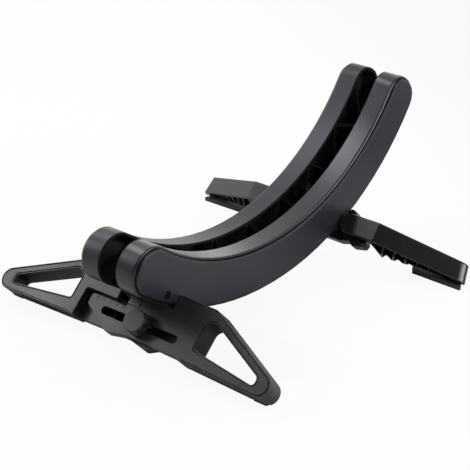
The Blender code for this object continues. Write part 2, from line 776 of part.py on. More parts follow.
def right_foot():
    """Half that slides: its tongue lies in front and has the long slot."""
    foot = foot_body(1, -RIGHT_SHELF_END, TONGUE_UP, -FRONT_LAYER, 0.0)
    half = SLOT_OPENING / 2
    start = SLOT_LEFT + half
    end = SLOT_RIGHT - half
    outline = arc((end, SLOT_UP), half, -90.0, 90.0, 6) + arc((start, SLOT_UP), half, 90.0, 270.0, 6)
    frame = foot_frame()
    low = TONGUE_UP + 2.4
    right = SHELF_STEP_X + SHELF_GROOVE / 2
    left = right - SHELF_GROOVE
    groove = [
        (-RIGHT_SHELF_END - 3.0, low), (right, low), (right, SHELF_UP + 3.0), (left, SHELF_UP + 3.0),
        (left, low + SHELF_GROOVE), (-RIGHT_SHELF_END - 3.0, low + SHELF_GROOVE),
    ]
    step = [
        (-RIGHT_SHELF_END - 3.0, SHELF_STEP_UP), (left + 0.2, SHELF_STEP_UP),
        (left + 0.2, SHELF_UP + 4.0), (-RIGHT_SHELF_END - 3.0, SHELF_UP + 4.0),
    ]
    cut(
        foot,
        solid("right_foot_slot", slab("right_foot_slot", [outline], -FRONT_LAYER - 2.0, 5.0), frame),
        solid("right_foot_groove", slab("right_foot_groove", [groove], -SHELF_GROOVE_DEPTH, 5.0), frame),
        solid("right_foot_step", slab("right_foot_step", [step], -SHELF_STEP_DEPTH, 5.0), frame),
    )
    return foot


def left_foot():
    """Half that stays: its tongue lies behind and carries the clamp bolt."""
    foot = foot_body(-1, LEFT_SHELF_END, RECESS_UP - FIT_GAP, -BACK_TONGUE_DEPTH, -FRONT_LAYER - FIT_GAP)
    frame = foot_frame(KNOB_X, SLOT_UP)
    hole = slab("left_foot_bolt_hole", [circle((0.0, 0.0), BOLT_RADIUS + 0.3)], -FOOT_DEPTH, 0.0)
    seat = [circle((0.0, 0.0), NUT_RADIUS + 0.3, 6)]
    nut_low = -BACK_TONGUE_DEPTH - 2.0
    nut_high = FIT_GAP - BACK_TONGUE_DEPTH + NUT_THICK
    bar_left = SLOT_BAR_X - SLOT_BAR / 2
    bar_right = SLOT_BAR_X + SLOT_BAR / 2
    low = SLOT_UP - SLOT_OPENING / 2 - 0.6
    high = SLOT_UP + SLOT_OPENING / 2 + 0.6
    pockets = []
    for x0, x1 in ((SLOT_LEFT - 7.0, bar_left), (bar_right, KNOB_X - 8.0)):
        pockets.append(rounded([(x0, low), (x1, low), (x1, high), (x0, high)], 1.5))
    pocket_low = -FRONT_LAYER - FIT_GAP - BACK_POCKET_DEPTH
    shelf_x = (-LEFT_SHELF_END - SHELF_POCKET, -LEFT_SHELF_END + 3.0)
    shelf_up = (RECESS_UP + WALL, SHELF_UP - WALL + 0.8)
    shelf_box = [(shelf_x[0], shelf_up[0]), (shelf_x[1], shelf_up[0])]
    shelf_box += [(shelf_x[1], shelf_up[1]), (shelf_x[0], shelf_up[1])]
    shelf_pocket = slab("left_foot_shelf_pocket", [shelf_box], WALL - FOOT_DEPTH, 0.7 - WALL)
    cut(
        foot,
        solid("left_foot_bolt_hole", hole, frame),
        solid("left_foot_nut_seat", slab("left_foot_nut_seat", seat, nut_low, nut_high), frame),
        solid("left_foot_pockets", slab("left_foot_pockets", pockets, pocket_low, 0.0), foot_frame()),
        solid("left_foot_shelf_pocket", shelf_pocket, foot_frame()),
    )
    return foot


# width clamp

def lobed(grow, hollow):
    """Outline of the clamp knob with its finger hollows."""
    steps = KNOB_LOBES * 8
    points = []
    for i in range(steps):
        angle = 360.0 * i / steps
        dip = hollow * max(0.0, cos(radians(angle * KNOB_LOBES))) ** 2
        points.append(polar(KNOB_RADIUS + grow - dip, angle))
    return points


def clamp_knob():
    """Hand knob on the clamp bolt; it turns about its own origin."""
    frame = foot_frame(KNOB_X, SLOT_UP)
    base = WASHER_THICK + 2 * FIT_GAP
    top = base + KNOB_HEIGHT
    levels = [
        (-0.6, 1.0, base), (0.0, 1.0, base + 0.6), (0.0, 1.0, top - 2.0),
        (0.0, 0.4, top - 0.8), (-0.3, 0.3, top - 0.2), (-0.8, 0.25, top),
    ]
    rings = [[(*p, height) for p in lobed(grow, KNOB_HOLLOW * share)] for grow, share, height in levels]
    plastic = material("knob_plastic", (0.03, 0.029, 0.031), 0.38)
    knob = solid("clamp_knob", loft("clamp_knob", rings), frame, plastic)
    bore = slab("clamp_knob_bore", [circle((0.0, 0.0), BOLT_RADIUS + 0.15)], base - 2.0, top - 3.5)
    cut(knob, solid("clamp_knob_bore", bore, frame))
    return knob


def clamp_bolt():
    """Threaded rod from the knob through the slot to the nut."""
    frame = foot_frame(KNOB_X, SLOT_UP)
    high = WASHER_THICK + 2 * FIT_GAP + KNOB_HEIGHT - 4.0
    low = -BACK_TONGUE_DEPTH - 0.3
    profile = [(BOLT_RADIUS - 0.5, low), (BOLT_RADIUS, low + 0.5), (BOLT_RADIUS, high)]
    steel = material("bolt_steel", (0.35, 0.35, 0.36), 0.3, 1.0)
    return solid("clamp_bolt", turned("clamp_bolt", profile), frame, steel)


def clamp_washer():
    """Flat washer between the knob and the slotted tongue."""
    loops = [circle((0.0, 0.0), WASHER_RADIUS, 32), circle((0.0, 0.0), BOLT_RADIUS + 0.25)]
    mesh = slab("clamp_washer", loops, FIT_GAP, FIT_GAP + WASHER_THICK)
    steel = material("washer_steel", (0.2, 0.2, 0.21), 0.4, 1.0)
    return solid("clamp_washer", mesh, foot_frame(KNOB_X, SLOT_UP), steel)


def clamp_nut():
    """Six-sided nut held in the back of the left tongue."""
    loops = [circle((0.0, 0.0), NUT_RADIUS, 6), circle((0.0, 0.0), BOLT_RADIUS + 0.15)]
    mesh = slab("clamp_nut", loops, -BACK_TONGUE_DEPTH, -BACK_TONGUE_DEPTH + NUT_THICK)
    steel = material("nut_steel", (0.3, 0.3, 0.31), 0.35, 1.0)
    return solid("clamp_nut", mesh, foot_frame(KNOB_X, SLOT_UP), steel)


# rear legs

def leg_axes(side):
    """Face normals and run of the two straight stretches of a leg, in world directions."""
    t = radians(LEG_TILT)
    up = Vector((0, cos(t), sin(t)))
    out = Vector((0, -sin(t), cos(t)))
    origin = Vector((side * PIVOT_X, PIVOT[0], PIVOT[1]))
    bend = origin + Vector((side * (LEG_BEND_X - PIVOT_X), 0, 0)) + up * HUB_RADIUS
    tip = Vector((side * LEG_TIP_X, bend.y + LEG_TIP_BACK, LEG_TIP_HEIGHT))
    run = (tip - bend).normalized()
    out2 = run.cross(up).normalized() * side
    return origin, up, out, bend, run, out2, (tip - bend).length


def leg_swell(along):
    """Share of the full depth and hang reached between the bend and the first rib."""
    return LEG_HANG_START + (1.0 - LEG_HANG_START) * along / LEG_FIRST_RIB


def leg_hang(along):
    """How far the ribbed underside hangs below the face at a distance beyond the bend."""
    if along < LEG_FIRST_RIB:
        return LEG_HANG * leg_swell(along)
    return LEG_HANG * max(0.0, LEG_HANG_END - along) / (LEG_HANG_END - LEG_FIRST_RIB)


def leg_low(along, length):
    """Under edge of the face below the top edge, at a distance beyond the bend."""
    return -2 * HUB_RADIUS + (2 * HUB_RADIUS - LEG_TIP_FACE) * along / length


def leg_ring(base, up, inward, depth, low, hang=0.0, face=0.0, lean=Vector()):
    """Section of a leg: rounded front edges, a flat top and an under edge that hangs at the back."""
    places = [
        (-1.5, face), (low + 1.0, face), (low, face + 1.0), (low, face + LEG_WALL),
        (low - hang, face + min(8.0, depth - face - 2.0)), (low - hang, depth), (0.0, depth),
        (0.0, face + 1.5), (-0.45, face + 0.45),
    ]
    return [base + (up - lean) * v + inward * q for v, q in places]


def leg_depth(along, length):
    """Depth of the leg behind its face at a distance beyond the bend."""
    if along < LEG_FIRST_RIB:
        return HUB_DEPTH + (LEG_DEPTH - HUB_DEPTH) * leg_swell(along)
    share = max(0.0, along - LEG_TAPER_START) / (length - LEG_TAPER_START)
    return LEG_DEPTH + (LEG_TIP_DEPTH - LEG_DEPTH) * share


def leg_body_mesh(side):
    origin, up, out, bend, run, out2, length = leg_axes(side)
    x = Vector((side, 0, 0))
    start = origin + up * HUB_RADIUS
    miter = (out + out2) / (1 + out.dot(out2))
    rings = [
        leg_ring(start, up, -out, HUB_DEPTH, leg_low(0.0, length)),
        leg_ring(bend - x * LEG_DEEPEN_START, up, -out, HUB_DEPTH, leg_low(0.0, length)),
        leg_ring(bend, up, -miter, leg_depth(0.0, length), leg_low(0.0, length), leg_hang(0.0)),
    ]
    for along in (LEG_FIRST_RIB, LEG_TAPER_START, LEG_HANG_END):
        base = bend + run * along
        low = leg_low(along, length)
        rings.append(leg_ring(base, up, -out2, leg_depth(along, length), low, leg_hang(along)))
    for i in range(5):
        a = i * pi / 8
        along = length - 3.0 + LEG_TIP_ROUND * sin(a)
        face = LEG_TIP_ROUND * (1 - cos(a))
        base = bend + run * along
        low = leg_low(length, length)
        rings.append(leg_ring(base, up, -out2, LEG_TIP_DEPTH + 0.4, low, 0.0, face, run * LEG_TIP_LEAN))
    return rings


def leg_cells(name, side):
    """Hollows under a leg, open downwards, with thin ribs left between them."""
    up, _, bend, run, out2, length = leg_axes(side)[1:]
    bm = bmesh.new()
    along = LEG_FIRST_RIB + LEG_RIB / 2 - LEG_RIB_PITCH
    while along + LEG_RIB_PITCH < length - 1.0:
        ends = (along, along + LEG_RIB_PITCH - LEG_RIB)
        rows = []
        for s in ends:
            back = leg_depth(s, length) - LEG_WALL
            places = [(-LEG_WALL, LEG_WALL), (-60.0, LEG_WALL), (-60.0, back), (-LEG_WALL, back)]
            rows.append([bm.verts.new((bend + run * s + up * v - out2 * q) * MM) for v, q in places])
        for i in range(4):
            bm.faces.new((rows[0][i - 1], rows[0][i], rows[1][i], rows[1][i - 1]))
        bm.faces.new(rows[0][::-1])
        bm.faces.new(rows[1])
        along += LEG_RIB_PITCH
    return finished(bm, name)


def leg_notches(name, side):
    """Notches that leave the back wall under a leg toothed like a saw, with a tooth at each rib."""
    up, _, bend, run, out2, length = leg_axes(side)[1:]
    bm = bmesh.new()
    along = LEG_FIRST_RIB
    while along + LEG_RIB_PITCH < LEG_HANG_END:
        end = along + LEG_RIB_PITCH
        root = along + LEG_NOTCH_ROOT
        root_up = leg_low(root, length) - leg_hang(root) * (1.0 - LEG_NOTCH_SHARE)
        places = [(s, leg_low(s, length) - leg_hang(s) - 1.0) for s in (along + 0.5, end - 0.5)]
        places += [(root + 0.6, root_up), (root - 0.6, root_up)]
        rows = []
        for depth in (LEG_DEPTH - LEG_WALL - 6.0, LEG_DEPTH + 8.0):
            rows.append([bm.verts.new((bend + run * s + up * v - out2 * depth) * MM) for s, v in places])
        for i in range(4):
            bm.faces.new((rows[0][i - 1], rows[0][i], rows[1][i], rows[1][i - 1]))
        bm.faces.new(rows[0][::-1])
        bm.faces.new(rows[1])
        along = end
    return finished(bm, name)


def leg(side):
    """Folding rear leg: round hub, bent bar, ribbed hollow underneath."""
    name = side_name(side) + "_leg"
    frame = leg_frame(side)
    inverse = frame.inverted()
    hub_profile = [
        (HUB_RADIUS, -HUB_DEPTH), (HUB_RADIUS, -1.5), (HUB_RADIUS - 0.45, -0.45), (HUB_RADIUS - 1.5, 0.0),
    ]
    plastic = material("leg_plastic", (0.026, 0.025, 0.027), 0.38)
    body = solid(name, turned(name, hub_profile, 36), frame, plastic)
    bar = loft(name, leg_body_mesh(side))
    bar.transform(inverse)
    bore = slab(name, [circle((0.0, 0.0), PIN_RADIUS + 0.1)], -HUB_DEPTH - 2.0, -LEG_WALL - 0.8)
    join(body, solid(name + "_bar", bar, frame))
    cut(
        body,
        solid(name + "_cells", leg_cells(name, side), Matrix.Identity(4)),
        solid(name + "_notches", leg_notches(name, side), Matrix.Identity(4)),
        solid(name + "_bore", bore, frame),
        leg_pad_space(name + "_pad_space", side),
    )
    return body


def pad_top(x):
    """Height of a leg pad's sloping top at a distance from the stand's middle."""
    near = LEG_TIP_X - LEG_PAD_LONG
    return LEG_PAD_THICK + (LEG_PAD_TIP_THICK - LEG_PAD_THICK) * (x - near) / (LEG_TIP_X - near)


def wedge(name, side, plan, low, grow):
    """Block with an upright edge over a plan and a top that slopes like the leg pads."""
    rings = [[(x * side, y, low) for x, y in plan], [(x * side, y, pad_top(x) + grow) for x, y in plan]]
    return loft(name, rings)


def leg_pad(side):
    """Soft wedge under the end of a leg."""
    name = side_name(side) + "_leg_pad"
    front = PIVOT[0] + HUB_RADIUS * cos(radians(LEG_TILT)) + LEG_PAD_BACK
    near = LEG_TIP_X - LEG_PAD_LONG
    far = LEG_TIP_X + LEG_PAD_OUT
    corners = [(near, front), (far, front - 1.0), (far - 4.5, front + LEG_PAD_WIDE - 1.5)]
    plan = rounded(corners + [(near, front + LEG_PAD_WIDE)], 1.5)
    rubber = material("leg_pad_rubber", (0.06, 0.06, 0.062), 0.8)
    return solid(name, wedge(name, side, plan, 0.0, 0.0), Matrix.Identity(4), rubber)


def leg_pad_space(name, side):
    """Room for the pad and its fitting gap under the leg."""
    near = LEG_TIP_X - LEG_PAD_LONG - 5.0
    far = LEG_TIP_X + 20.0
    plan = [(near, -100.0), (far, -100.0), (far, 300.0), (near, 300.0)]
    return solid(name, wedge(name, side, plan, -60.0, FIT_GAP), Matrix.Identity(4))


def leg_pin(side):
    """Fold pin of a leg, headed behind the bracket."""
    name = side_name(side) + "_leg_pin"
    back = -HUB_DEPTH - BRACKET_DEPTH - 2 * FIT_GAP
    profile = [
        (PIN_HEAD - 0.8, back - 3.0), (PIN_HEAD, back - 2.2), (PIN_HEAD, back),
        (PIN_RADIUS, back), (PIN_RADIUS, -LEG_WALL - 1.3),
    ]
    steel = material("pin_steel", (0.3, 0.3, 0.31), 0.32, 1.0)
    return solid(name, turned(name, profile, 32), leg_frame(side), steel)


def bracket_outline():
    """Leg bracket behind the hub, in the leg's frame, as drawn for the right side."""
    left = ARM_INNER + 2.0 - PIVOT_X
    points = [
        (left, 1.5 - BRACKET_LOW), (-8.8, 1.2 - BRACKET_LOW), (1.5, 4.2 - BRACKET_LOW),
        (7.7, -BRACKET_LOW), (20.7, 2.8 - BRACKET_LOW), (22.2, 7.0 - BRACKET_LOW), (17.0, 0.0), (9.0, 7.2),
        (-0.2, BRACKET_SHOULDER), (-3.4, BRACKET_TOP - 2.6), (-7.3, BRACKET_TOP), (left, BRACKET_TOP),
    ]
    return rounded(points, [3.0, 0.0, 0.0, 2.0, 2.0, 2.0, 4.0, 3.0, 0.0, 3.0, 2.5, 0.0])


def leg_bracket(side):
    """Block under the rear of an arm that carries a leg's fold pin."""
    name = side_name(side) + "_leg_bracket"
    frame = leg_frame(side)
    high = -HUB_DEPTH - FIT_GAP
    low = high - BRACKET_DEPTH
    block = soft_slab(name, flipped(bracket_outline(), side), low, high, 0.6, 0.6, 1)
    body = solid(name, block, frame, material("bracket_plastic", (0.03, 0.029, 0.031), 0.4))
    lug = slab(name, [bracket_lug_outline()], *span(side, *LUG_X))
    bore = slab(name, [circle((0.0, 0.0), PIN_RADIUS + 0.05, 32)], low - 5.0, high + 5.0)
    hole = slab(name, [screw_hole(BRACKET_SCREW)], *span(side, LUG_X[0] - 3.0, LUG_X[1] + 3.0))
    cut(body, arm_space(name + "_arm_space", side))
    join(body, solid(name + "_lug", lug, arm_frame()))
    cut(body, solid(name + "_bore", bore, frame), solid(name + "_screw_hole", hole, arm_frame()))
    return body


def build():
    empty_scene()
    new_group("floor_wheel_stand")
    new_group("cutters")
    for side in (-1, 1):
        arm_shell(side)
        arm_cover(side)
        foot_screw(side)
        foot_pad(side)
        leg_bracket(side)
        bracket_screw(side)
        leg(side)
        leg_pin(side)
        leg_pad(side)
    left_foot()
    right_foot()
    clamp_knob()
    clamp_bolt()
    clamp_washer()
    clamp_nut()


build()
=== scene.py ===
"""Looks of the floor bike stand: finishes, the width scale, light and camera.

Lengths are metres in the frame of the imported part, except the scale's, which are millimetres.
+X runs across to the half with the slotted tongue, +Y from the feet to the rear legs, and the
floor is z = 0. The part's own solids carry the shapes: they keep their meshes and get finishes
and soft edges.
"""
import json
from math import radians

import bmesh
import bpy
from mathutils import Matrix, Vector


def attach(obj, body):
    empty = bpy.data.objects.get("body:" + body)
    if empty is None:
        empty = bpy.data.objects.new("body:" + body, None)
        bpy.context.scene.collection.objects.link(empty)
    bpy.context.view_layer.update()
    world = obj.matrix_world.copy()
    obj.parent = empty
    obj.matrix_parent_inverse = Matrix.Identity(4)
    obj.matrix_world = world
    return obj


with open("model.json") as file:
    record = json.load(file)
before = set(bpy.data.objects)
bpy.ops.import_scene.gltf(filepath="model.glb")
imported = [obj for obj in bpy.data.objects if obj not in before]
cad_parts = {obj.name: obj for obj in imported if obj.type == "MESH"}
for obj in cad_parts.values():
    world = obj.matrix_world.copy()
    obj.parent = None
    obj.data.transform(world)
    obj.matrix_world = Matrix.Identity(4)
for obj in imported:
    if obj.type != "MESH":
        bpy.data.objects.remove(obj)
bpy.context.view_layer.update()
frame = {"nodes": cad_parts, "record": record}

MM = 0.001
WHITE = (1.0, 1.0, 1.0)

# the photograph's camera: its turn and tilt are degrees, its lens is millimetres
CAMERA_PLACE = (0.9308, -1.1260, 0.7436)
CAMERA_TURN = 40.469
CAMERA_TILT = 25.428
CAMERA_LENS = 122.71
CAMERA_SHIFT = (-0.0011, 0.0011)

# front face of the feet: the point that the scale is measured from, and the slope in degrees
FOOT_FACE = (0.0, -0.1962, 0.01782)
FOOT_TILT = 43.49

# scale on the slotted tongue, in millimetres across the face, up it and out of it
MARK_PLACES = (-49.5, -42.0, -33.1, -24.2, -15.8)
MARK_UP = 23.6
MARK_WIDE = 2.0
MARK_HIGH = 2.2
MARK_LINE = 0.5
MARK_RELIEF = 0.2
MARK_SUNK = 0.1

# shading of the solids: edges that turn by more than these degrees stay sharp
WELD_WITHIN = 0.00001
SHARP_ANGLE = 24.0
LEG_SHARP_ANGLE = 12.0
BIG_FACE_WEIGHT = 90

# noise over a surface: features to the metre, detail, and the share of them along each axis
CLOUDS = (38.0, 4.0)
FLOW = (12.0, 2.0, (1.0, 0.35, 1.0))
DUST = (90.0, 5.0)
RUBBER_GRAIN = (2600.0, 2.0)
PLATING = (160.0, 4.0)
STEEL_LINES = (3000.0, 3.0, (1.0, 1.0, 0.06))
GRAIN_DETAIL = 2.0
NOISE_SPREAD = 0.3

# bumps: relief and strength, and the radius of soft edges
FLOW_BUMP = (0.0006, 0.12)
RUBBER_BUMP = (0.0001, 0.8)
STEEL_BUMP = (0.00004, 0.5)
GRAIN_STRENGTH = 0.6
EDGE_ROUND = 0.0006
EDGE_SAMPLES = 6

# roughness over a surface: what is added to a finish's own, and the range that rubber has
PLASTIC_UNEVEN = (-0.05, 0.05)
STEEL_UNEVEN = (-0.08, 0.1)
RUBBER_ROUGHNESS = (0.72, 0.9)

# arms: their surfaces within this length of the middle line the wheel slot, and are more matt and
# darker, the darkening being painted shade that stands in for the shade between the arms
SLOT_FACE_X = 0.0118
SLOT_PAINTED_SHADE = 0.15
SLOT_MATT = 0.6

# the left arm, which starts further from the middle than this length, is a little more matt
LEFT = (-1.0, 0.0, 0.0)
LEFT_FROM = 0.003
LEFT_MATT = 0.12

# finishes by material slot: grain is features to the metre
VIOLET = (0.95, 0.93, 1.06)
PLASTICS = {
    "arm_plastic": {
        "dark": (0.017, 0.0165, 0.019), "light": (0.025, 0.024, 0.028),
        "roughness": 0.3, "grain": 1500.0, "relief": 0.00006, "tint": VIOLET, "lines_slot": True,
    },
    "cover_plastic": {
        "dark": (0.011, 0.0105, 0.0145), "light": (0.017, 0.016, 0.022),
        "roughness": 0.4, "grain": 2200.0, "relief": 0.0001, "tint": VIOLET, "level": 0.62,
    },
    "foot_plastic": {
        "dark": (0.019, 0.0187, 0.019), "light": (0.028, 0.0277, 0.028),
        "roughness": 0.38, "grain": 2000.0, "relief": 0.0001,
    },
    "leg_plastic": {
        "dark": (0.010, 0.0098, 0.011), "light": (0.016, 0.0157, 0.0175),
        "roughness": 0.27, "grain": 1800.0, "relief": 0.00005, "tint": VIOLET,
    },
    "knob_plastic": {
        "dark": (0.020, 0.0197, 0.020), "light": (0.030, 0.0297, 0.030),
        "roughness": 0.42, "grain": 2200.0, "relief": 0.0001,
    },
}
RUBBERS = {
    "pad_rubber": {"dark": (0.045, 0.045, 0.047), "light": (0.075, 0.075, 0.078)},
}
STEELS = {
    "dark_steel": {"dark": (0.025, 0.025, 0.027), "light": (0.06, 0.06, 0.063), "roughness": 0.45},
    "bright_steel": {"dark": (0.45, 0.45, 0.46), "light": (0.62, 0.62, 0.63), "roughness": 0.3},
}

# floor: its tone is painted light and shade as ramps (aim, start, stop, low, high), lighter towards
# the rear left and darker towards the rear right, and painted shadow as patches (centre, radius,
# change) near the feet; the plain white laid over it: a share for the camera's rays, and for those
# of gloss a ramp that paints a whiter reflection towards the rear left
FLOOR_HALF = 6.0
FLOOR_DROP = 0.0004
FLOOR_ROUGHNESS = 0.9
FLOOR_PAINTED_LIGHT_RAMPS = (
    ((-0.59, 0.81, 0.0), 0.05, 0.5, 0.78, 1.0),
    ((0.55, 0.83, 0.0), 0.2, 0.5, 0.0, -0.75),
)
FLOOR_PAINTED_SHADOW_PATCHES = (
    ((0.1, -0.13, 0.0), 0.035, -0.5),
    ((-0.12, -0.16, 0.0), 0.035, -0.35),
    ((0.045, -0.065, 0.0), 0.028, -0.4),
)
FLOOR_WHITE = 0.93
FLOOR_PAINTED_REFLECTION = ((-0.59, 0.81, 0.0), 0.15, 0.5, 0.0, 0.85)

# sky: bright behind and to the left, brighter in a patch low behind and in one overhead
SKY_RAMPS = (
    ((-0.8, 0.6, 0.0), -0.3, 0.75, 0.05, 1.05),
    ((-0.55, 0.8, -0.1), 0.88, 0.99, 0.0, 1.0),
    ((0.35, 0.3, 0.9), 0.75, 0.97, 0.0, 0.6),
)

# lamps: place, the point that each faces, length of a side, and watts
LAMPS = {
    "key_lamp": ((-0.55, -0.02, 0.95), (0.0, 0.0, 0.1), 0.36, 2.0),
    "low_lamp": ((-1.0, -0.64, 0.68), (-0.1, -0.19, 0.02), 0.32, 3.5),
    "leg_lamp": ((-0.61, -0.546, 0.947), (0.067, 0.091, 0.05), 0.16, 0.3),
    "edge_lamp": ((1.12, -0.5, 0.95), (0.1, -0.05, 0.05), 0.15, 3.0),
    "rear_lamp": ((1.15, 0.45, 0.36), (0.12, 0.1, 0.05), 0.4, 6.0),
}

# the record's material slot of each node
SLOTS = {piece["node"]: piece["material_slot"] for piece in frame["record"]["subparts"]}


class Graph:
    """Node tree of a material or the world. Its calls take sockets or plain values."""

    def __init__(self, owner):
        owner.use_nodes = True
        self.nodes = owner.node_tree.nodes
        self.links = owner.node_tree.links

    def coords(self, kind):
        return self.nodes.new("ShaderNodeTexCoord").outputs[kind]

    def feed(self, socket, value):
        """Links a socket to another, or sets it to a plain value."""
        if isinstance(value, bpy.types.NodeSocket):
            self.links.new(value, socket)
        else:
            socket.default_value = value

    def maths(self, operation, first, second):
        step = self.nodes.new("ShaderNodeMath")
        step.operation = operation
        self.feed(step.inputs[0], first)
        self.feed(step.inputs[1], second)
        return step.outputs[0]

    def total(self, values):
        result = values[0]
        for value in values[1:]:
            result = self.maths("ADD", result, value)
        return result

    def noise(self, place, scale, detail, stretch=None):
        if stretch:
            mapping = self.nodes.new("ShaderNodeMapping")
            self.feed(mapping.inputs["Scale"], stretch)
            self.feed(mapping.inputs["Vector"], place)
            place = mapping.outputs["Vector"]
        texture = self.nodes.new("ShaderNodeTexNoise")
        self.feed(texture.inputs["Scale"], scale)
        self.feed(texture.inputs["Detail"], detail)
        self.feed(texture.inputs["Vector"], place)
        return texture.outputs["Fac"]

    def ramp(self, value, start, stop, low, high, soft=True):
        """Value that runs from low to high while another runs from start to stop."""
        step = self.nodes.new("ShaderNodeMapRange")
        if soft:
            step.interpolation_type = "SMOOTHSTEP"
        self.feed(step.inputs["Value"], value)
        self.feed(step.inputs["From Min"], start)
        self.feed(step.inputs["From Max"], stop)
        self.feed(step.inputs["To Min"], low)
        self.feed(step.inputs["To Max"], high)
        return step.outputs["Result"]

    def ranged(self, value, low, high):
        """Noise, which keeps near its middle, turned into a range."""
        return self.ramp(value, 0.5 - NOISE_SPREAD, 0.5 + NOISE_SPREAD, low, high, soft=False)

    def measured(self, operation, vector, other):
        """Number that an operation on two vectors gives."""
        step = self.nodes.new("ShaderNodeVectorMath")
        step.operation = operation
        self.feed(step.inputs[0], vector)
        self.feed(step.inputs[1], other)
        return step.outputs["Value"]

    def ramp_along(self, vector, aim, start, stop, low, high):
        """Value that runs softly from low to high with the distance along an aim."""
        distance = self.measured("DOT_PRODUCT", vector, Vector(aim).normalized())
        return self.ramp(distance, start, stop, low, high)

    def patch(self, vector, centre, radius, change):
        """Change of tone round a point, fading out at twice the radius."""
        distance = self.measured("DISTANCE", vector, centre)
        return self.ramp(distance, radius, 2.0 * radius, change, 0.0)

    def mixed(self, factor, first, second):
        """Colour between two, each a socket or three values, by a factor."""
        mix = self.nodes.new("ShaderNodeMix")
        mix.data_type = "RGBA"
        sockets = [socket for socket in mix.inputs if socket.type == "RGBA"]
        for socket, colour in zip(sockets, (first, second)):
            linked = isinstance(colour, bpy.types.NodeSocket)
            self.feed(socket, colour if linked else (*colour, 1.0))
        self.feed(mix.inputs["Factor"], factor)
        return next(socket for socket in mix.outputs if socket.type == "RGBA")

    def slot_face(self, place):
        """One on the faces that line the wheel slot, nought elsewhere."""
        split = self.nodes.new("ShaderNodeSeparateXYZ")
        self.feed(split.inputs[0], place)
        away = self.nodes.new("ShaderNodeMath")
        away.operation = "ABSOLUTE"
        self.feed(away.inputs[0], split.outputs["X"])
        return self.maths("LESS_THAN", away.outputs[0], SLOT_FACE_X)

    def rounded(self):
        """Normal that runs softly over the edges, as moulded edges do."""
        bevel = self.nodes.new("ShaderNodeBevel")
        bevel.samples = EDGE_SAMPLES
        self.feed(bevel.inputs["Radius"], EDGE_ROUND)
        return bevel.outputs["Normal"]

    def bumped(self, height, relief, strength, under=None):
        """Normal with a bump, over another normal where one is given."""
        bump = self.nodes.new("ShaderNodeBump")
        self.feed(bump.inputs["Height"], height)
        self.feed(bump.inputs["Distance"], relief)
        self.feed(bump.inputs["Strength"], strength)
        if under is not None:
            self.feed(bump.inputs["Normal"], under)
        return bump.outputs["Normal"]

    def white_to_camera(self, shader, white_kind, output, share, glossy=0.0):
        """Mixes plain white over a surface or sky for the camera's rays and those of gloss."""
        path = self.nodes.new("ShaderNodeLightPath")
        seen = self.total([
            self.maths("MULTIPLY", path.outputs["Is Camera Ray"], share),
            self.maths("MULTIPLY", path.outputs["Is Glossy Ray"], glossy),
        ])
        white = self.nodes.new(white_kind)
        self.feed(white.inputs["Color"], (*WHITE, 1.0))
        self.feed(white.inputs["Strength"], 1.0)
        mix = self.nodes.new("ShaderNodeMixShader")
        self.feed(mix.inputs["Fac"], seen)
        self.feed(mix.inputs[1], shader.outputs[0])
        self.feed(mix.inputs[2], white.outputs[0])
        self.feed(self.nodes[output].inputs["Surface"], mix.outputs[0])


def new_finish(name):
    """Material, its graph and its shader."""
    finish = bpy.data.materials.new(name)
    graph = Graph(finish)
    return finish, graph, graph.nodes["Principled BSDF"]


def plastic(name, dark, light, roughness, grain, relief, tint=WHITE, level=0.5, lines_slot=False):
    """Moulded plastic: spark-eroded grain, faint flow marks and uneven gloss, and painted shade on
    the faces that line the wheel slot where lines_slot is set.
    """
    finish, graph, shader = new_finish(name)
    place = graph.coords("Object")
    clouds = graph.noise(place, *CLOUDS)
    flow = graph.noise(place, *FLOW)
    fine = graph.noise(place, grain, GRAIN_DETAIL)
    colour = graph.mixed(graph.ranged(clouds, 0.0, 1.0), dark, light)
    gloss = graph.ranged(flow, *[roughness + change for change in PLASTIC_UNEVEN])
    if lines_slot:
        slot_painted_shade_and_matt = graph.slot_face(place)
        # painted shade: faces that line the wheel slot are darkened, as shade falls between the arms
        colour = graph.mixed(slot_painted_shade_and_matt, colour, [SLOT_PAINTED_SHADE * value for value in dark])
        left = graph.ramp_along(place, LEFT, 0.0, LEFT_FROM, 0.0, LEFT_MATT)
        matt = graph.ramp(slot_painted_shade_and_matt, 0.0, 1.0, 0.0, SLOT_MATT, soft=False)
        gloss = graph.total([gloss, left, matt])
    waves = graph.bumped(flow, *FLOW_BUMP, graph.rounded())
    graph.feed(shader.inputs["Base Color"], colour)
    graph.feed(shader.inputs["Roughness"], gloss)
    graph.feed(shader.inputs["Normal"], graph.bumped(fine, relief, GRAIN_STRENGTH, waves))
    graph.feed(shader.inputs["Specular Tint"], (*tint, 1.0))
    graph.feed(shader.inputs["Specular IOR Level"], level)
    return finish


def rubber(name, dark, light):
    """Soft pad: matt, with a close grain and pale dust in patches."""
    finish, graph, shader = new_finish(name)
    place = graph.coords("Object")
    dust = graph.noise(place, *DUST)
    fine = graph.noise(place, *RUBBER_GRAIN)
    graph.feed(shader.inputs["Base Color"], graph.mixed(graph.ranged(dust, 0.0, 1.0), dark, light))
    graph.feed(shader.inputs["Roughness"], graph.ranged(dust, *RUBBER_ROUGHNESS))
    graph.feed(shader.inputs["Normal"], graph.bumped(fine, *RUBBER_BUMP))
    return finish


def steel(name, dark, light, roughness):
    """Drawn or turned steel: fine lines and cloudy plating."""
    finish, graph, shader = new_finish(name)
    place = graph.coords("Object")
    clouds = graph.noise(place, *PLATING)
    lines = graph.noise(place, *STEEL_LINES)
    gloss = graph.ranged(clouds, *[roughness + change for change in STEEL_UNEVEN])
    graph.feed(shader.inputs["Base Color"], graph.mixed(graph.ranged(clouds, 0.0, 1.0), dark, light))
    graph.feed(shader.inputs["Roughness"], gloss)
    graph.feed(shader.inputs["Normal"], graph.bumped(lines, *STEEL_BUMP))
    graph.feed(shader.inputs["Metallic"], 1.0)
    return finish


def all_finishes():
    finishes = {}
    for kind, rows in ((plastic, PLASTICS), (rubber, RUBBERS), (steel, STEELS)):
        for name, values in rows.items():
            finishes[name] = kind(name, **values)
    return finishes


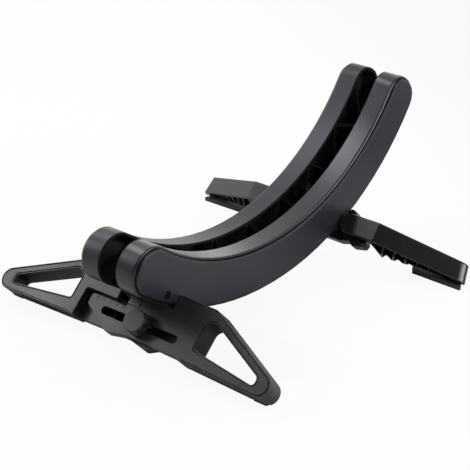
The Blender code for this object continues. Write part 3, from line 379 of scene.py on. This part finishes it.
def finish_node(name, finish):
    """A CAD node keeps its mesh and gets its finish and smooth rounded faces."""
    node = frame["nodes"][name]
    node.data.materials.clear()
    node.data.materials.append(finish)
    node.data.shade_smooth()
    weld = node.modifiers.new("weld", "WELD")
    weld.merge_threshold = WELD_WITHIN
    edge = node.modifiers.new("edge", "EDGE_SPLIT")
    edge.split_angle = radians(LEG_SHARP_ANGLE if name.endswith("_leg") else SHARP_ANGLE)
    flat = node.modifiers.new("flat", "WEIGHTED_NORMAL")
    flat.weight = BIG_FACE_WEIGHT


def new_mesh(name, bm):
    mesh = bpy.data.meshes.new(name)
    bm.to_mesh(mesh)
    bm.free()
    return mesh


def placed(name, data, location=(0.0, 0.0, 0.0)):
    obj = bpy.data.objects.new(name, data)
    obj.location = location
    bpy.context.scene.collection.objects.link(obj)
    return obj


def bar(bm, x, up, wide, high):
    """Low bar with a narrower top, standing on the foot's face."""
    chamfer = MARK_RELIEF / 2
    rings = []
    for depth, shrink in ((-MARK_SUNK, 0.0), (MARK_RELIEF - chamfer, 0.0), (MARK_RELIEF, chamfer)):
        half_wide = wide / 2 - shrink
        half_high = high / 2 - shrink
        rings.append([
            bm.verts.new(Vector((x + sx * half_wide, up + sy * half_high, depth)) * MM)
            for sx, sy in ((-1, -1), (1, -1), (1, 1), (-1, 1))
        ])
    bm.faces.new(reversed(rings[0]))
    bm.faces.new(rings[-1])
    for lower, upper in zip(rings, rings[1:]):
        for i in range(4):
            j = (i + 1) % 4
            bm.faces.new((lower[i], lower[j], upper[j], upper[i]))


def scale_marks(finish):
    """Row of small raised frames along the slotted tongue, one for each width."""
    bm = bmesh.new()
    across = (MARK_WIDE - MARK_LINE) / 2
    along = (MARK_HIGH - MARK_LINE) / 2
    for x in MARK_PLACES:
        for side in (-1, 1):
            bar(bm, x + side * across, MARK_UP, MARK_LINE, MARK_HIGH)
            bar(bm, x, MARK_UP + side * along, MARK_WIDE - 2 * MARK_LINE, MARK_LINE)
    bm.transform(Matrix.Translation(FOOT_FACE) @ Matrix.Rotation(radians(FOOT_TILT), 4, "X"))
    mesh = new_mesh("scale_marks", bm)
    mesh.materials.append(finish)
    piece = placed("scale_marks", mesh)
    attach(piece, "right_side")


def floor_sheet():
    """Wide sheet that the camera sees almost white, with the stand's shadow on it, and painted
    light, shade and shadow in its tone.
    """
    bm = bmesh.new()
    bmesh.ops.create_grid(bm, x_segments=2, y_segments=2, size=FLOOR_HALF)
    floor = placed("floor", new_mesh("floor", bm), (0.0, 0.0, -FLOOR_DROP))
    paper, graph, shader = new_finish("floor_paper")
    place = graph.coords("Object")
    # painted light and shade: the floor's tone is lighter towards the rear left and darker towards
    # the rear right
    painted_light_and_shadow = [graph.ramp_along(place, *values) for values in FLOOR_PAINTED_LIGHT_RAMPS]
    # painted shadow: patches of darker tone near the feet
    painted_light_and_shadow += [graph.patch(place, *values) for values in FLOOR_PAINTED_SHADOW_PATCHES]
    graph.feed(shader.inputs["Base Color"], graph.total(painted_light_and_shadow))
    graph.feed(shader.inputs["Roughness"], FLOOR_ROUGHNESS)
    # painted reflection: glossy rays see the floor whiter towards the rear left
    painted_reflection = graph.ramp_along(place, *FLOOR_PAINTED_REFLECTION)
    graph.white_to_camera(shader, "ShaderNodeEmission", "Material Output", FLOOR_WHITE, painted_reflection)
    floor.data.materials.append(paper)


def sky():
    """Grey dome that lights the stand, and that the camera sees as plain white."""
    world = bpy.data.worlds.new("studio")
    bpy.context.scene.world = world
    graph = Graph(world)
    direction = graph.coords("Generated")
    dome = graph.nodes["Background"]
    brightness = graph.total([graph.ramp_along(direction, *values) for values in SKY_RAMPS])
    graph.feed(dome.inputs["Color"], (*WHITE, 1.0))
    graph.feed(dome.inputs["Strength"], brightness)
    graph.white_to_camera(dome, "ShaderNodeBackground", "World Output", 1.0)


def square_lamp(name, place, aim, side, watts):
    lamp = bpy.data.lights.new(name, "AREA")
    lamp.shape = "SQUARE"
    lamp.size = side
    lamp.energy = watts
    obj = placed(name, lamp, place)
    obj.rotation_euler = (Vector(aim) - Vector(place)).to_track_quat("-Z", "Y").to_euler()


def camera():
    lens = bpy.data.cameras.new("photo_camera")
    lens.lens = CAMERA_LENS
    lens.shift_x, lens.shift_y = CAMERA_SHIFT
    obj = placed("photo_camera", lens, CAMERA_PLACE)
    obj.rotation_euler = (radians(90.0 - CAMERA_TILT), 0.0, radians(CAMERA_TURN))
    bpy.context.scene.camera = obj


finishes = all_finishes()
for node_name in frame["nodes"]:
    finish_node(node_name, finishes[SLOTS[node_name]])
scale_marks(finishes["foot_plastic"])
floor_sheet()
sky()
for lamp_name, lamp_values in LAMPS.items():
    square_lamp(lamp_name, *lamp_values)
camera()
bpy.context.scene.view_settings.view_transform = "Standard"
